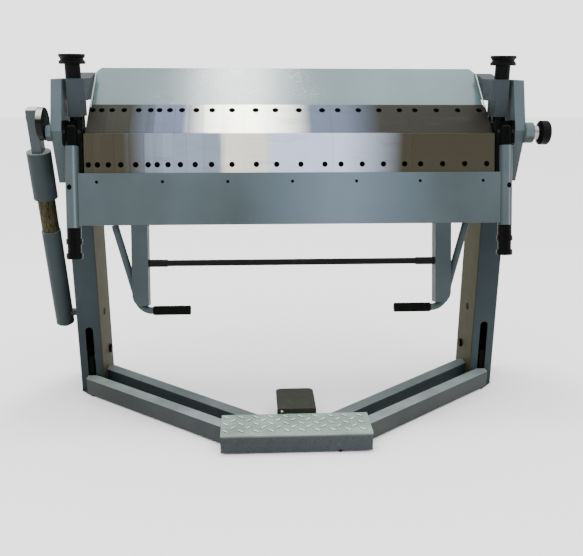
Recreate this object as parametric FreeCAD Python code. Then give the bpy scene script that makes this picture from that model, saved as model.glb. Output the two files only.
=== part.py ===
import FreeCAD, Part
import math
import os
from FreeCAD import Vector

# Box and pan brake: a floor-standing sheet folder worked by a foot treadle.
# Millimetres. X runs along the fold line, +Y to the back of the machine, +Z up.
# The origin is on the floor, at the centre of the four holes that bolt the legs down.

# Working length and finger segments, from left to right
segment_widths = [25, 30, 35, 40, 50, 25, 30, 35, 40, 50, 50, 75, 75, 200, 250, 260]
segment_gap = 0.3
segment_thickness = 20.0
upper_segment_length = 125.0
lower_segment_length = 120.0
upper_hole_radius = 8.0
lower_hole_radius = 8.6
upper_hole_from_tip = 100.0
lower_hole_from_top = 94.3
wide_hole_margin = 25.0
wide_hole_pitch = 70.0

# Fold axis and the slopes of the working faces
fold_height = 912.0
fold_from_leg_centre = 194.0
finger_slope = 40.0
leaf_lean = 13.0
fold_gap = 0.5

# Legs, folded steel channels closed by a rear cover, with a thin foot that reaches forward
leg_width = 80.0
leg_depth = 180.0
leg_wall = 5.0
leg_plate = 12.0
leg_cover = 4.0
leg_height = 754.0
foot_reach = 50.0
foot_toe_width = 33.0
foot_thickness = 4.0
floor_hole_radius = 7.0
floor_hole_spacing = 120.0
slot_width = 27.0
slot_top = 239.0

# Side plates that stand on the legs, clear of the clamp brackets
bracket_clearance = 12.0
side_plate_thickness = 33.0
side_plate_top = 1072.0
boss_radius_left = 25.0
boss_radius_right = 32.0
boss_length_left = 14.0
boss_length_right = 26.0
journal_radius = 10.0
journal_clearance = 0.06
running_gap = 0.3

# Bed
bed_depth = 262.0
bed_wall = 12.0
bed_back_wall = 20.0
bed_bar_width = 40.0
bed_bar_thickness = 20.0
bed_end_drop = 4.0

# Clamping beam and its end brackets
beam_overhang = 0.25
beam_plate = 15.0
beam_wall = 10.0
beam_corner = 14.0
beam_reach = 262.0
box_back = 214.0
bracket_width = 54.5
clamp_travel = 45.0
knob_inset = 18.0
knob_axis_from_fold = 63.0
bracket_foot = 46.0
bracket_top_rise = 2.0
bracket_underside = 95.0
bracket_notch = 13.5
bracket_block_front = 37.0
bracket_block_back = 115.0
spindle_radius = 12.0
post_radius = 20.0
knob_head_radius = 40.0
knob_head_height = 30.0
knob_stem_radius = 23.5
knob_stem_height = 42.0

# Folding leaf
leaf_panel_proud = 5.0
leaf_back = 45.0
leaf_length = 279.0
leaf_wall = 8.0
leaf_to_tube = 18.5
lug_thickness = 10.0
tube_radius = 22.5
tube_side_clearance = 7.0
tube_axis_back = 10.0
tube_top = 36.7
tube_bottom = 286.5
hub_radius = 39.0
hub_flat = 18.0
spigot_radius = 12.0
spigot_length = 40.0
cap_radius = 20.0
cap_top = 27.4
tapped_hole_count = 7
tapped_hole_pitch = 200.0
tapped_hole_drop = 147.0

# Leaf handles and pull bar
handle_x = 474.0
handle_width = 50.0
handle_depth = 46.0
handle_wall = 4.0
stay_radius = 11.0
stay_spread = 77.5
grip_radius = 14.5
grip_length = 116.5
grip_stub = 11.0
grip_drop = 546.0
pull_bar_radius = 9.5
pull_bar_drop = 398.0
pull_sleeve_radius = 11.5
pull_sleeve_length = 59.0

# Crank and balance strut on the left end
crank_radius = 50.0
crank_thickness = 19.0
crank_offset = 28.0
crank_pin_back = 35.0
crank_pin_up = 45.0
crank_pin_radius = 11.0
strut_rod_gap = 11.5
crank_gap = 2.0
strut_foot_y = -8.0
strut_foot_z = 270.0
strut_tube_radius = 31.0
strut_inner_radius = 28.0
strut_sleeve_radius = 38.0
strut_wall = 4.0
strut_pin_radius = 13.0
strut_rod_width = 31.0
pin_recess = 3.0
strut_rod_depth = 46.0

# Lock knob on the right end
lock_shaft_radius = 8.0
collar_length = 16.0
lock_knob_length = 36.0

# Foot treadle
treadle_pivot_y = 35.0
treadle_pivot_z = 112.0
treadle_lever = 95.0
treadle_arm_thickness = 16.0
treadle_tube_width = 42.0
treadle_tube_height = 55.0
treadle_tube_wall = 3.0
treadle_clearance = 5.0
treadle_leg_inset = 25.0
treadle_leg_gap = 32.0
rear_tube_leg_gap = 2.0
rear_tube_reach = 50.0
front_tube_step_overlap = 66.0
front_tube_step_side = 6.0
rear_tube_step_inset = 44.0
rear_tube_step_overlap = 11.0
step_half_width = 228.0
step_front = -559.0
step_back = -429.0
step_thickness = 5.0
heel_left = -55.0
heel_right = 68.0
heel_rise = 17.0
heel_depth = 150.0
heel_thickness = 4.0
lift_rod_radius = 11.0
lift_rod_wall_gap = 1.0
lift_stub_radius = 7.0
lift_slot_clearance = 1.6

axis_y = -fold_from_leg_centre
axis_z = fold_height
bed_height = fold_height - leg_height
leaf_front_y = axis_y - segment_thickness / math.cos(math.radians(leaf_lean)) - fold_gap
total_length = sum(segment_widths) + segment_gap * (len(segment_widths) - 1)
half_length = total_length / 2
beam_half_width = half_length + beam_overhang
bracket_outer = beam_half_width + bracket_width
side_plate_inner = bracket_outer + bracket_clearance
outer_half_width = side_plate_inner + side_plate_thickness
leg_x = outer_half_width - leg_width / 2
leg_inner = outer_half_width - leg_width
knob_axis_x = bracket_outer - knob_inset
tube_axis_x = side_plate_inner - tube_radius - tube_side_clearance
leaf_half_width = tube_axis_x - leaf_to_tube
stay_start_x = handle_x + stay_spread
boss_face_left = outer_half_width + boss_length_left
boss_face_right = outer_half_width + boss_length_right
crank_inner = boss_face_left + crank_gap
strut_x = crank_inner + crank_thickness + strut_rod_gap + strut_rod_width / 2
lift_rod_x = leg_inner + leg_wall + lift_rod_radius + lift_rod_wall_gap
knob_y = axis_y + knob_axis_from_fold
bracket_top = side_plate_top - axis_z + bracket_top_rise

os.makedirs("parts", exist_ok=True)


def save(name, solids):
    """Write one node; a list of solids becomes one group."""
    if not isinstance(solids, list):
        solids = [solids]
    pieces = []
    for solid in solids:
        pieces += solid.Solids
    shape = pieces[0] if len(pieces) == 1 else Part.makeCompound(pieces)
    shape.exportStep("parts/" + name + ".step")


def block(x0, x1, y0, y1, z0, z1):
    """A box between its low and high corners."""
    return Part.makeBox(x1 - x0, y1 - y0, z1 - z0, Vector(x0, y0, z0))


def rod(start, end, radius):
    """A round bar between two points."""
    along = end.sub(start)
    return Part.makeCylinder(radius, along.Length, start, along)


def profile_x(points, x0, x1):
    """A prism along X from (y, z) corner points."""
    corners = [Vector(x0, y, z) for y, z in points]
    face = Part.Face(Part.makePolygon(corners + corners[:1]))
    return face.extrude(Vector(x1 - x0, 0, 0))


def profile_z(points, z0, z1):
    """A prism along Z from (x, y) corner points."""
    corners = [Vector(x, y, z0) for x, y in points]
    face = Part.Face(Part.makePolygon(corners + corners[:1]))
    return face.extrude(Vector(0, 0, z1 - z0))


def mirrored(shape):
    """The same piece on the other end of the machine."""
    return shape.mirror(Vector(0, 0, 0), Vector(1, 0, 0))


def from_axis(points):
    """Turn offsets from the fold axis into (y, z) points."""
    return [(axis_y + back, axis_z + up) for back, up in points]


def round_edges(shape, radius, chosen):
    """Fillet the edges for which chosen(edge) holds."""
    edges = [edge for edge in shape.Edges if chosen(edge)]
    return shape.makeFillet(radius, edges) if edges else shape


def along_x(edge):
    """True for a straight edge that runs along X."""
    if len(edge.Vertexes) != 2:
        return False
    step = edge.Vertexes[1].Point.sub(edge.Vertexes[0].Point)
    return abs(step.x) > 1.0 and abs(step.y) < 1e-6 and abs(step.z) < 1e-6


def turned(profile, centre, axis):
    """Revolve (radius, height) points about an axis through centre."""
    corners = [Vector(r, 0, h) for r, h in profile]
    face = Part.Face(Part.makePolygon(corners + corners[:1]))
    solid = face.revolve(Vector(0, 0, 0), Vector(0, 0, 1), 360)
    solid.Placement = FreeCAD.Placement(centre, FreeCAD.Rotation(Vector(0, 0, 1), axis))
    return solid


def hang(shape):
    """Place a piece drawn in the leaf's own frame, top front edge at the origin."""
    lean = FreeCAD.Rotation(Vector(1, 0, 0), -leaf_lean)
    place = FreeCAD.Placement(Vector(0, leaf_front_y, fold_height), lean)
    piece = shape.copy()
    piece.Placement = place.multiply(piece.Placement)
    return piece


def segment_spans():
    """Left and right ends of each segment."""
    spans = []
    left = -half_length
    for width in segment_widths:
        spans.append((left, left + width))
        left += width + segment_gap
    return spans


def screw_places(left, right):
    """Places of the screws that hold one segment."""
    width = right - left
    if width < 2 * wide_hole_pitch:
        return [(left + right) / 2]
    first = left + wide_hole_margin
    last = right - wide_hole_margin
    count = round((last - first) / wide_hole_pitch) + 1
    return [first + (last - first) * i / (count - 1) for i in range(count)]


def socket_screw(head_radius, head_height, shank_radius, shank_length):
    """A socket head screw, head top at z = 0, shank pointing to -Z."""
    body = Part.makeCylinder(head_radius, head_height, Vector(0, 0, -head_height))
    shank = Part.makeCylinder(shank_radius, shank_length, Vector(0, 0, -head_height - shank_length))
    hexagon = [
        Vector(head_radius * 0.6 * math.cos(k * math.pi / 3), head_radius * 0.6 * math.sin(k * math.pi / 3), 0)
        for k in range(6)
    ]
    socket = Part.Face(Part.makePolygon(hexagon + hexagon[:1])).extrude(Vector(0, 0, -head_height * 0.6))
    return body.fuse(shank).removeSplitter().cut(socket)


def placed(shape, point, direction):
    """Turn a piece drawn along +Z to a direction and move it to a point."""
    piece = shape.copy()
    piece.Placement = FreeCAD.Placement(point, FreeCAD.Rotation(Vector(0, 0, 1), direction))
    return piece


# Legs: front wall, two side walls, a floor plate, a top plate and a welded rear cover, so that they are closed.
# A slot in front lets the treadle arm through.
# A flat toe reaches forward under the treadle tubes, so that the machine does not tip.
leg_front = -leg_depth / 2
leg_back = leg_depth / 2
inner_x = outer_half_width - leg_width
leg = block(inner_x, outer_half_width, leg_front, leg_back, 0, leg_height)
leg = round_edges(leg, leg_wall, lambda e: abs(e.BoundBox.ZLength - leg_height) < 1e-6 and e.BoundBox.YMax < 0)
hollow = block(inner_x + leg_wall, outer_half_width - leg_wall, leg_front + leg_wall, leg_back + 1,
               leg_plate, leg_height - leg_plate)
leg = leg.cut(hollow)
slot = block(leg_x - slot_width / 2, leg_x + slot_width / 2, leg_front - 1, leg_front + leg_wall + 1,
             leg_plate, slot_top - slot_width / 2)
slot_end = rod(Vector(leg_x, leg_front - 1, slot_top - slot_width / 2),
               Vector(leg_x, leg_front + leg_wall + 1, slot_top - slot_width / 2), slot_width / 2)
leg = leg.cut(slot.fuse(slot_end))
for y in (-floor_hole_spacing / 2, floor_hole_spacing / 2):
    leg = leg.cut(rod(Vector(leg_x, y, -1), Vector(leg_x, y, leg_plate + 1), floor_hole_radius))
pivot_hole = rod(Vector(inner_x - 1, treadle_pivot_y, treadle_pivot_z),
                 Vector(outer_half_width + 1, treadle_pivot_y, treadle_pivot_z), 10.0)
rod_hole = rod(Vector(lift_rod_x, treadle_pivot_y - treadle_lever, leg_height - leg_plate - 1),
               Vector(lift_rod_x, treadle_pivot_y - treadle_lever, leg_height + 1), lift_rod_radius + 1.5)
foot_hole = rod(Vector(inner_x - 1, strut_foot_y, strut_foot_z),
                Vector(outer_half_width + 1, strut_foot_y, strut_foot_z), strut_pin_radius)
leg = leg.cut(pivot_hole).cut(rod_hole).cut(foot_hole)
toe = profile_z([(inner_x, leg_front + 2 * leg_wall), (inner_x, leg_front - foot_reach),
                 (inner_x + foot_toe_width, leg_front - foot_reach), (outer_half_width, leg_front),
                 (outer_half_width, leg_front + 2 * leg_wall)], 0, foot_thickness)
leg = leg.fuse(toe).removeSplitter()
cover = block(inner_x + leg_wall, outer_half_width - leg_wall, leg_back - leg_cover, leg_back,
              leg_plate, leg_height - leg_plate)
save("leg_right", [leg, cover])
save("leg_left", [mirrored(leg), mirrored(cover)])

# Side plates: thick plates with a leaning front edge, and a bearing boss welded outside
plate_back = leg_back - axis_y
side_profile = from_axis([
    (36, side_plate_top - axis_z), (-17, 9), (34, leg_height - axis_z),
    (plate_back, leg_height - axis_z), (plate_back, 40), (200, side_plate_top - axis_z),
])


def side_plate(boss_radius, boss_length):
    plate = profile_x(side_profile, side_plate_inner, outer_half_width)
    plate = round_edges(plate, 4.0, lambda e: along_x(e) and e.BoundBox.ZMax > leg_height + 1)
    boss = rod(Vector(outer_half_width - 1, axis_y, axis_z),
               Vector(outer_half_width + boss_length, axis_y, axis_z), boss_radius)
    bore = rod(Vector(side_plate_inner - 1, axis_y, axis_z),
               Vector(outer_half_width + boss_length + 1, axis_y, axis_z), journal_radius + journal_clearance)
    return plate.fuse(boss).removeSplitter().cut(bore)


save("side_plate_right", side_plate(boss_radius_right, boss_length_right))
save("side_plate_left", mirrored(side_plate(boss_radius_left, boss_length_left)))

# Bed: a welded box beam with a nose bar on top, its ends reaching the side plates behind the hubs
bed_nose = 3.0
bar_back = bed_nose + bed_bar_width
slope_top = bed_nose + bed_bar_thickness
bed_back = bar_back + bed_depth - bed_bar_width
slope_foot = slope_top + bed_height - bed_bar_thickness
bed_outline = from_axis([
    (bar_back, 0), (bed_back, 0), (bed_back, -bed_height), (slope_foot, -bed_height),
    (slope_top, -bed_bar_thickness), (bar_back, -bed_bar_thickness),
])
bed = profile_x(bed_outline, -half_length, half_length)
bed_end = hub_radius + 4.0
end_outline = from_axis([
    (bed_end, -bed_end_drop), (bed_back, -bed_end_drop), (bed_back, -bed_height),
    (slope_foot, -bed_height), (bed_end, -bed_height + slope_foot - bed_end),
])
bed = bed.fuse(profile_x(end_outline, -side_plate_inner, side_plate_inner)).removeSplitter()
void_outline = from_axis([
    (bar_back + bed_wall, -bed_bar_thickness - bed_wall),
    (bed_back - bed_back_wall, -bed_bar_thickness - bed_wall),
    (bed_back - bed_back_wall, -bed_height + bed_wall), (slope_foot + bed_wall / 2, -bed_height + bed_wall),
])
bed = bed.cut(profile_x(void_outline, -half_length + bed_wall, half_length - bed_wall))
bed_cuts = []
for side in (-1, 1):
    lift_y = treadle_pivot_y - treadle_lever
    bed_cuts.append(rod(Vector(side * lift_rod_x, lift_y, axis_z - bed_height - 1),
                        Vector(side * lift_rod_x, lift_y, axis_z), lift_rod_radius + 1.5))
bar_outline = from_axis([(bed_nose, 0), (bar_back, 0), (bar_back, -bed_bar_thickness),
                         (slope_top, -bed_bar_thickness)])
bar = profile_x(bar_outline, -half_length, half_length)
bed = bed.fuse(bar).removeSplitter()
save("bed_beam", bed.cut(Part.makeCompound(bed_cuts)))

# Guide posts: black stop posts on the bed ends, under the clamp spindles
post = turned([(0, 0), (post_radius, 0), (post_radius, bracket_foot + bed_end_drop - running_gap - 2),
               (post_radius - 2, bracket_foot + bed_end_drop - running_gap),
               (0, bracket_foot + bed_end_drop - running_gap)],
              Vector(knob_axis_x, knob_y, axis_z - bed_end_drop), Vector(0, 0, 1))
save("stop_posts", [post, mirrored(post)])

# Upper segments: thick steel fingers on the 40 degree face, bolted through one row of holes
slope = math.radians(finger_slope)
up_slope = Vector(0, math.cos(slope), math.sin(slope))
into_slope = Vector(0, math.sin(slope), -math.cos(slope))
tip = Vector(0, axis_y + 2.0, axis_z + fold_gap)
top_front = tip.add(up_slope * upper_segment_length)
top_back = top_front.add(into_slope * segment_thickness)
foot_run = segment_thickness / math.sin(slope)
finger_outline = [(tip.y, tip.z), (top_front.y, top_front.z), (top_back.y, top_back.z),
                  (tip.y + foot_run, tip.z)]
upper_screw = socket_screw(6.4, 8.0, 4.0, 16.0)
lower_screw = socket_screw(7.6, 8.0, 5.0, 20.0)
head_depth = 7.0


def upper_segment(left, right):
    segment = profile_x(finger_outline, left, right)
    for x in screw_places(left, right):
        face = tip.add(up_slope * upper_hole_from_tip).add(Vector(x, 0, 0))
        wide = rod(face.sub(into_slope), face.add(into_slope * (head_depth + 8.0)), upper_hole_radius)
        narrow = rod(face, face.add(into_slope * (segment_thickness + 1)), 4.0)
        segment = segment.cut(wide.fuse(narrow))
    return segment


segment_lean = segment_thickness * math.tan(math.radians(leaf_lean))


def lower_segment(left, right):
    outline = [(0, 0), (segment_thickness, segment_lean), (segment_thickness, -lower_segment_length),
               (0, -lower_segment_length)]
    segment = profile_x(outline, left, right)
    for x in screw_places(left, right):
        wide = rod(Vector(x, -1, -lower_hole_from_top), Vector(x, head_depth + 8.0, -lower_hole_from_top),
                   lower_hole_radius)
        narrow = rod(Vector(x, 0, -lower_hole_from_top),
                     Vector(x, segment_thickness + 1, -lower_hole_from_top), 5.0)
        segment = segment.cut(wide.fuse(narrow))
    return hang(segment)


upper_groups = {}
lower_groups = {}
upper_screws = []
lower_screws = []
upper_taps = []
lower_taps = []
for (left, right), width in zip(segment_spans(), segment_widths):
    upper_groups.setdefault(width, []).append(upper_segment(left, right))
    lower_groups.setdefault(width, []).append(lower_segment(left, right))
    for x in screw_places(left, right):
        face = tip.add(up_slope * upper_hole_from_tip).add(Vector(x, 0, 0))
        seat = face.add(into_slope * head_depth)
        upper_screws.append(placed(upper_screw, seat, into_slope * -1))
        upper_taps.append(rod(face, face.add(into_slope * (head_depth + 24.0)), 4.0))
        seat = Vector(x, head_depth, -lower_hole_from_top)
        lower_screws.append(hang(placed(lower_screw, seat, Vector(0, -1, 0))))
        lower_taps.append(rod(Vector(x, segment_thickness, -lower_hole_from_top),
                              Vector(x, head_depth + 28.0, -lower_hole_from_top), 5.0))
for width, solids in upper_groups.items():
    save("upper_segments_%d" % width, solids)
for width, solids in lower_groups.items():
    save("leaf_segments_%d" % width, solids)
save("upper_segment_screws", upper_screws)
save("leaf_segment_screws", lower_screws)

# Clamping beam: a sloping front plate on a closed triangular box
plate_foot = top_back.sub(up_slope * ((top_back.z - axis_z - 14.0) / math.sin(slope)))
plate_top = Vector(0, axis_y + beam_reach, 0)
plate_top.z = top_back.z + (plate_top.y - top_back.y) * math.tan(slope)
plate_rear = plate_top.add(into_slope * beam_plate)
rear_z = plate_rear.z - (plate_rear.y - axis_y - box_back) * math.tan(slope)
foot_z = plate_foot.z
beam_outline = [(plate_foot.y, foot_z), (plate_top.y, plate_top.z), (plate_rear.y, plate_rear.z),
                (axis_y + box_back, rear_z), (axis_y + box_back, foot_z)]
clamp_beam = profile_x(beam_outline, -beam_half_width, beam_half_width)
corner_run = beam_corner + 6.0
chamfer_mid = plate_top.sub(up_slope * corner_run)
for side in (-1, 1):
    points = [
        Vector(side * (beam_half_width + 1), plate_top.y, plate_top.z).add(up_slope * 1.0),
        Vector(side * (beam_half_width - beam_corner), plate_top.y, plate_top.z).add(up_slope * 1.0),
        Vector(side * (beam_half_width + 1), chamfer_mid.y, chamfer_mid.z),
    ]
    points = [p.sub(into_slope * 2.0) for p in points]
    clamp_beam = clamp_beam.cut(Part.Face(Part.makePolygon(points + points[:1])).extrude(into_slope * 30.0))
wall_run = beam_wall / math.sin(slope)
void_foot = foot_z + beam_wall
void_front = plate_foot.y + (beam_plate + 6.0) / math.sin(slope) + beam_wall / math.tan(slope)
void_top = rear_z - wall_run
void_outline = [(void_front, void_foot), (axis_y + box_back - beam_wall, void_top - 4.0),
                (axis_y + box_back - beam_wall, void_foot)]
clamp_beam = clamp_beam.cut(profile_x(void_outline, -beam_half_width + beam_wall, beam_half_width - beam_wall))
save("clamp_beam", clamp_beam.cut(Part.makeCompound(upper_taps)))

# End brackets: castings bolted to the beam ends; the front block holds the clamp spindle
bracket_profile = from_axis([
    (bracket_block_front, bracket_foot), (bracket_block_front, bracket_top), (150, bracket_top),
    (215, bracket_top + 14), (250, bracket_top + 16), (256, bracket_top - 2),
    (150, bracket_underside), (bracket_block_back, bracket_underside), (bracket_block_back, bracket_foot),
])
bracket = profile_x(bracket_profile, beam_half_width, bracket_outer)
bracket = round_edges(bracket, 5.0, lambda e: along_x(e) and e.BoundBox.ZMax > axis_z + bracket_underside)
bracket = bracket.cut(rod(Vector(knob_axis_x, knob_y, axis_z), Vector(knob_axis_x, knob_y, side_plate_top + 9),
                          spindle_radius + journal_clearance))
lift_top = axis_z + bracket_underside
lift_y = treadle_pivot_y - treadle_lever
bracket = bracket.cut(rod(Vector(lift_rod_x, lift_y, lift_top - 1), Vector(lift_rod_x, lift_y, lift_top + 25),
                          lift_rod_radius - 3))
bracket = bracket.cut(block(beam_half_width - 1, beam_half_width + bracket_notch, axis_y,
                            axis_y + bracket_block_back,
                            axis_z, lift_top))
save("clamp_bracket_right", bracket)
save("clamp_bracket_left", mirrored(bracket))

# Clamp knobs: black waisted heads on a stem, with a spindle down to the stop post
spindle_end = axis_z + bracket_foot
knob_foot = axis_z + bracket_top
knob_profile = [
    (0, spindle_end - knob_foot + running_gap), (spindle_radius, spindle_end - knob_foot + running_gap),
    (spindle_radius, running_gap), (knob_stem_radius, running_gap), (knob_stem_radius, knob_stem_height),
    (knob_head_radius - 2, knob_stem_height), (knob_head_radius, knob_stem_height + 2),
    (knob_head_radius, knob_stem_height + 7), (knob_head_radius - 5, knob_stem_height + 13),
    (knob_head_radius - 5, knob_stem_height + 17), (knob_head_radius, knob_stem_height + 23),
    (knob_head_radius, knob_stem_height + knob_head_height - 2),
    (knob_head_radius - 2, knob_stem_height + knob_head_height), (0, knob_stem_height + knob_head_height),
]
knob = turned(knob_profile, Vector(knob_axis_x, knob_y, knob_foot), Vector(0, 0, 1))
save("clamp_knob_right", knob)
save("clamp_knob_left", mirrored(knob))

# Lift rods: from the brackets down inside the legs, each with a stub that rides in a slot of its treadle arm
arm_inner = leg_x - treadle_arm_thickness / 2
arm_outer = leg_x + treadle_arm_thickness / 2
rod_foot = treadle_pivot_z + 18.0
eye_gap = 1.0
lift_rod = rod(Vector(lift_rod_x, lift_y, rod_foot), Vector(lift_rod_x, lift_y, lift_top), lift_rod_radius)
neck = rod(Vector(lift_rod_x, lift_y, lift_top), Vector(lift_rod_x, lift_y, lift_top + 24), lift_rod_radius - 3)
flat_end = block(lift_rod_x - lift_rod_radius, arm_inner - eye_gap, lift_y - 13, lift_y + 13,
                 treadle_pivot_z - 18, rod_foot)
stub = rod(Vector(lift_rod_x, lift_y, treadle_pivot_z), Vector(arm_outer + 2, lift_y, treadle_pivot_z),
           lift_stub_radius)
lift_rod = lift_rod.fuse([neck, flat_end, stub]).removeSplitter()
save("lift_rods", [lift_rod, mirrored(lift_rod)])

# Leaf beam: front panel below the segments, a thick backing behind them, hollow lower box
backing_top = 30.0
backing_end = side_plate_inner - hub_radius
upper_part = profile_x([(segment_thickness, -backing_top), (leaf_back, -backing_top),
                        (leaf_back, -lower_segment_length - 1), (segment_thickness, -lower_segment_length - 1)],
                       -half_length, half_length)
lower_part = profile_x([(segment_thickness, -lower_segment_length), (leaf_back, -lower_segment_length),
                        (leaf_back, -leaf_length), (-leaf_panel_proud, -leaf_length),
                        (-leaf_panel_proud, -lower_segment_length)], -leaf_half_width, leaf_half_width)
leaf_beam = upper_part.fuse(lower_part).removeSplitter()
leaf_void = block(-leaf_half_width + 60, leaf_half_width - 60, -leaf_panel_proud + 2 * leaf_wall,
                  leaf_back - leaf_wall, -leaf_length + leaf_wall, -lower_segment_length - 2 * leaf_wall)
leaf_beam = leaf_beam.cut(leaf_void)
tube_line = [Vector(tube_axis_x, tube_axis_back, -tube_bottom - 1),
             Vector(tube_axis_x, tube_axis_back, -tube_top + 1)]
tube_cut = rod(tube_line[0], tube_line[1], tube_radius)
leaf_cuts = [tube_cut, mirrored(tube_cut)] + lower_taps
for i in range(tapped_hole_count):
    x = (i - (tapped_hole_count - 1) / 2) * tapped_hole_pitch
    leaf_cuts.append(rod(Vector(x, -leaf_panel_proud - 1, -tapped_hole_drop),
                         Vector(x, 8, -tapped_hole_drop), 5.0))
leaf_beam = leaf_beam.cut(Part.makeCompound(leaf_cuts))
save("leaf_beam", hang(leaf_beam))

# Leaf end tubes: welded to the ends of the leaf, with a cross hole turned outwards
tube = rod(Vector(tube_axis_x, tube_axis_back, -tube_bottom), Vector(tube_axis_x, tube_axis_back, -tube_top),
           tube_radius)
tube = tube.cut(rod(Vector(tube_axis_x, tube_axis_back, -tube_bottom - 1),
                    Vector(tube_axis_x, tube_axis_back, -tube_bottom + spigot_length + 2),
                    spigot_radius + journal_clearance))
hole_turn = math.radians(20)
hole_way = Vector(math.sin(hole_turn), -math.cos(hole_turn), 0)
hole_at = Vector(tube_axis_x, tube_axis_back, -162)
tube = tube.cut(rod(hole_at.add(hole_way * (tube_radius - 12)), hole_at.add(hole_way * (tube_radius + 5)), 8.5))
save("leaf_tubes", [hang(tube), hang(mirrored(tube))])

# Pivot caps: black domed caps that close the tubes on top, through the hubs
cap_length = tube_top + cap_top
cap = turned([(0, 0), (cap_radius, 0), (cap_radius, cap_length - 7), (cap_radius - 2, cap_length - 3),
              (cap_radius - 6, cap_length), (0, cap_length)],
             Vector(tube_axis_x, tube_axis_back, -tube_top), Vector(0, 0, 1))
save("pivot_caps", [hang(cap), hang(mirrored(cap))])

# Pivot hubs: black blocks on the fold axis with a journal in the side plate and a lug on the leaf's end
hub_inner = half_length + 4.0
hub_outer = side_plate_inner - 2.0
pivot_local = Vector(0, (axis_y - leaf_front_y) * math.cos(math.radians(leaf_lean)),
                     (axis_y - leaf_front_y) * math.sin(math.radians(leaf_lean)))


def pivot_hub(journal_end):
    hub = rod(Vector(hub_inner, pivot_local.y, pivot_local.z), Vector(hub_outer, pivot_local.y, pivot_local.z),
              hub_radius)
    hub = hub.cut(block(hub_inner - 1, hub_outer + 1, pivot_local.y - hub_radius - 1, pivot_local.y - hub_flat,
                        pivot_local.z - hub_radius - 1, pivot_local.z + hub_radius + 1))
    lug = block(hub_inner, hub_inner + lug_thickness, 2, leaf_back - 1, -lower_segment_length,
                pivot_local.z)
    hub = hub.fuse(lug).removeSplitter()
    hub = hub.cut(rod(Vector(tube_axis_x, tube_axis_back, -tube_top), Vector(tube_axis_x, tube_axis_back, 60),
                      cap_radius))
    hub = hub.cut(rod(Vector(tube_axis_x, tube_axis_back, -tube_bottom),
                      Vector(tube_axis_x, tube_axis_back, -tube_top), tube_radius))
    journal = rod(Vector(hub_outer - 4, pivot_local.y, pivot_local.z),
                  Vector(journal_end, pivot_local.y, pivot_local.z), journal_radius)
    return hub.fuse(journal).removeSplitter()


save("pivot_hub_right", hang(pivot_hub(boss_face_right - 1)))
save("pivot_hub_left", hang(mirrored(pivot_hub(crank_inner + crank_thickness))))
# Leaf adjusters: black stepped screws below the tubes that raise or lower the leaf's setting
adjuster_profile = [
    (0, spigot_length), (spigot_radius, spigot_length), (spigot_radius, 0), (22, 0), (22, -33), (25, -33),
    (25, -50), (21, -50), (21, -77), (25, -77), (25, -93), (22, -96), (0, -96),
]
adjuster = turned(adjuster_profile, Vector(tube_axis_x, tube_axis_back, -tube_bottom - running_gap),
                  Vector(0, 0, 1))
save("leaf_adjuster_right", hang(adjuster))
save("leaf_adjuster_left", hang(mirrored(adjuster)))

# Leaf handles: a square tube welded under the leaf, a bent round stay in its lower end and a black grip
tube_front = -leaf_panel_proud
arm_foot = -grip_drop + stay_radius + 6.0
arm = block(handle_x - handle_width / 2, handle_x + handle_width / 2, tube_front, tube_front + handle_depth,
            arm_foot, -leaf_length)
arm_void = block(handle_x - handle_width / 2 + handle_wall, handle_x + handle_width / 2 - handle_wall,
                 tube_front + handle_wall, tube_front + handle_depth - handle_wall,
                 arm_foot - 1, -leaf_length + 1)
stay_y = tube_front + handle_depth / 2
bend_radius = 48.0
bend_x = handle_x + 2.0
stay_top = Vector(stay_start_x, stay_y, -leaf_length)
grip_z = -grip_drop
corner = Vector(bend_x, stay_y, grip_z)
down = corner.sub(stay_top).normalize()
turn = math.acos(max(-1.0, min(1.0, down.dot(Vector(-1, 0, 0)))))
setback = bend_radius * math.tan(turn / 2)
bend_in = corner.sub(down * setback)
bend_out = corner.add(Vector(-1, 0, 0) * setback)
bisector = down.negative().add(Vector(-1, 0, 0)).normalize()
centre = corner.add(bisector * (bend_radius / math.cos(turn / 2)))
bend_mid = centre.sub(bisector * bend_radius)
grip_start = handle_x - handle_width / 2 - grip_stub
stay_end = Vector(grip_start - grip_length + 12, stay_y, grip_z)
path = Part.Wire([
    Part.LineSegment(stay_top, bend_in).toShape(),
    Part.Arc(bend_in, bend_mid, bend_out).toShape(),
    Part.LineSegment(bend_out, stay_end).toShape(),
])
ring = Part.Wire([Part.Circle(stay_top, down, stay_radius).toShape()])
stay = path.makePipeShell([ring], True, False)
outward = Vector(-down.z, 0, down.x)
cut_y = tube_front - 1
edge_reach = stay_radius - 1.5
edge_top = stay_top.add(outward * edge_reach)
edge_in = bend_in.add(outward * edge_reach)
edge_mid = centre.sub(bisector * (bend_radius + edge_reach))
low_cut = Part.Face(Part.makePolygon([
    Vector(edge_top.x, cut_y, edge_top.z),
    Vector(edge_in.x, cut_y, edge_in.z),
    Vector(edge_mid.x, cut_y, edge_mid.z),
    Vector(edge_mid.x, cut_y, arm_foot - 60),
    Vector(edge_top.x + 60, cut_y, arm_foot - 60),
    Vector(edge_top.x + 60, cut_y, edge_top.z),
    Vector(edge_top.x, cut_y, edge_top.z),
])).extrude(Vector(0, handle_depth + 2, 0))
arm = arm.cut(arm_void).cut(low_cut).cut(stay)
stay = stay.cut(block(stay_start_x - 30, stay_start_x + 30, stay_y - 20, stay_y + 20, -leaf_length, 0))
grip = rod(Vector(grip_start, stay_y, grip_z), Vector(grip_start - grip_length, stay_y, grip_z), grip_radius)
grip = round_edges(grip, 2.5, lambda e: len(e.Vertexes) == 1)
grip = grip.cut(rod(Vector(grip_start + 1, stay_y, grip_z), stay_end, stay_radius))
save("handle_arms", [hang(arm), hang(mirrored(arm))])
save("handle_stays", [hang(stay), hang(mirrored(stay))])
save("handle_grips", [hang(grip), hang(mirrored(grip))])
bar_end = handle_x - handle_width / 2
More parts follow.
